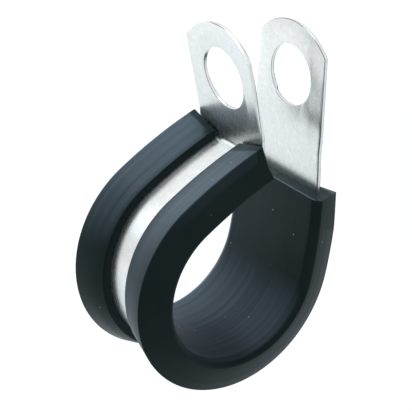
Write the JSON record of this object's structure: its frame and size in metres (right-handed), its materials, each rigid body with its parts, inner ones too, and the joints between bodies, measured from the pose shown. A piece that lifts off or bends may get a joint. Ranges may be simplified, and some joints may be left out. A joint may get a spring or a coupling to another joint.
{
  "type": "pipe clip",
  "caption": "Rubber-lined P-shaped pipe clip: a bent zinc-plated steel strip with pierced ears and a wrap-around rubber profile that seats the pipe.",
  "frame": {"origin": "on the axis of the round pipe seat, halfway along the rubber", "axes": "+Y along the pipe, +Z towards the ears, +X towards the straight leg"},
  "size_m": [0.0308, 0.0174, 0.0461],
  "materials": {
    "zinc_plated_steel": "bright zinc plating with a fine rolled grain",
    "black_rubber": "satin, extruded"
  },
  "bodies": {
    "root": {"steel_strip": "zinc_plated_steel", "rubber_liner": "black_rubber"}
  },
  "joints": []
}
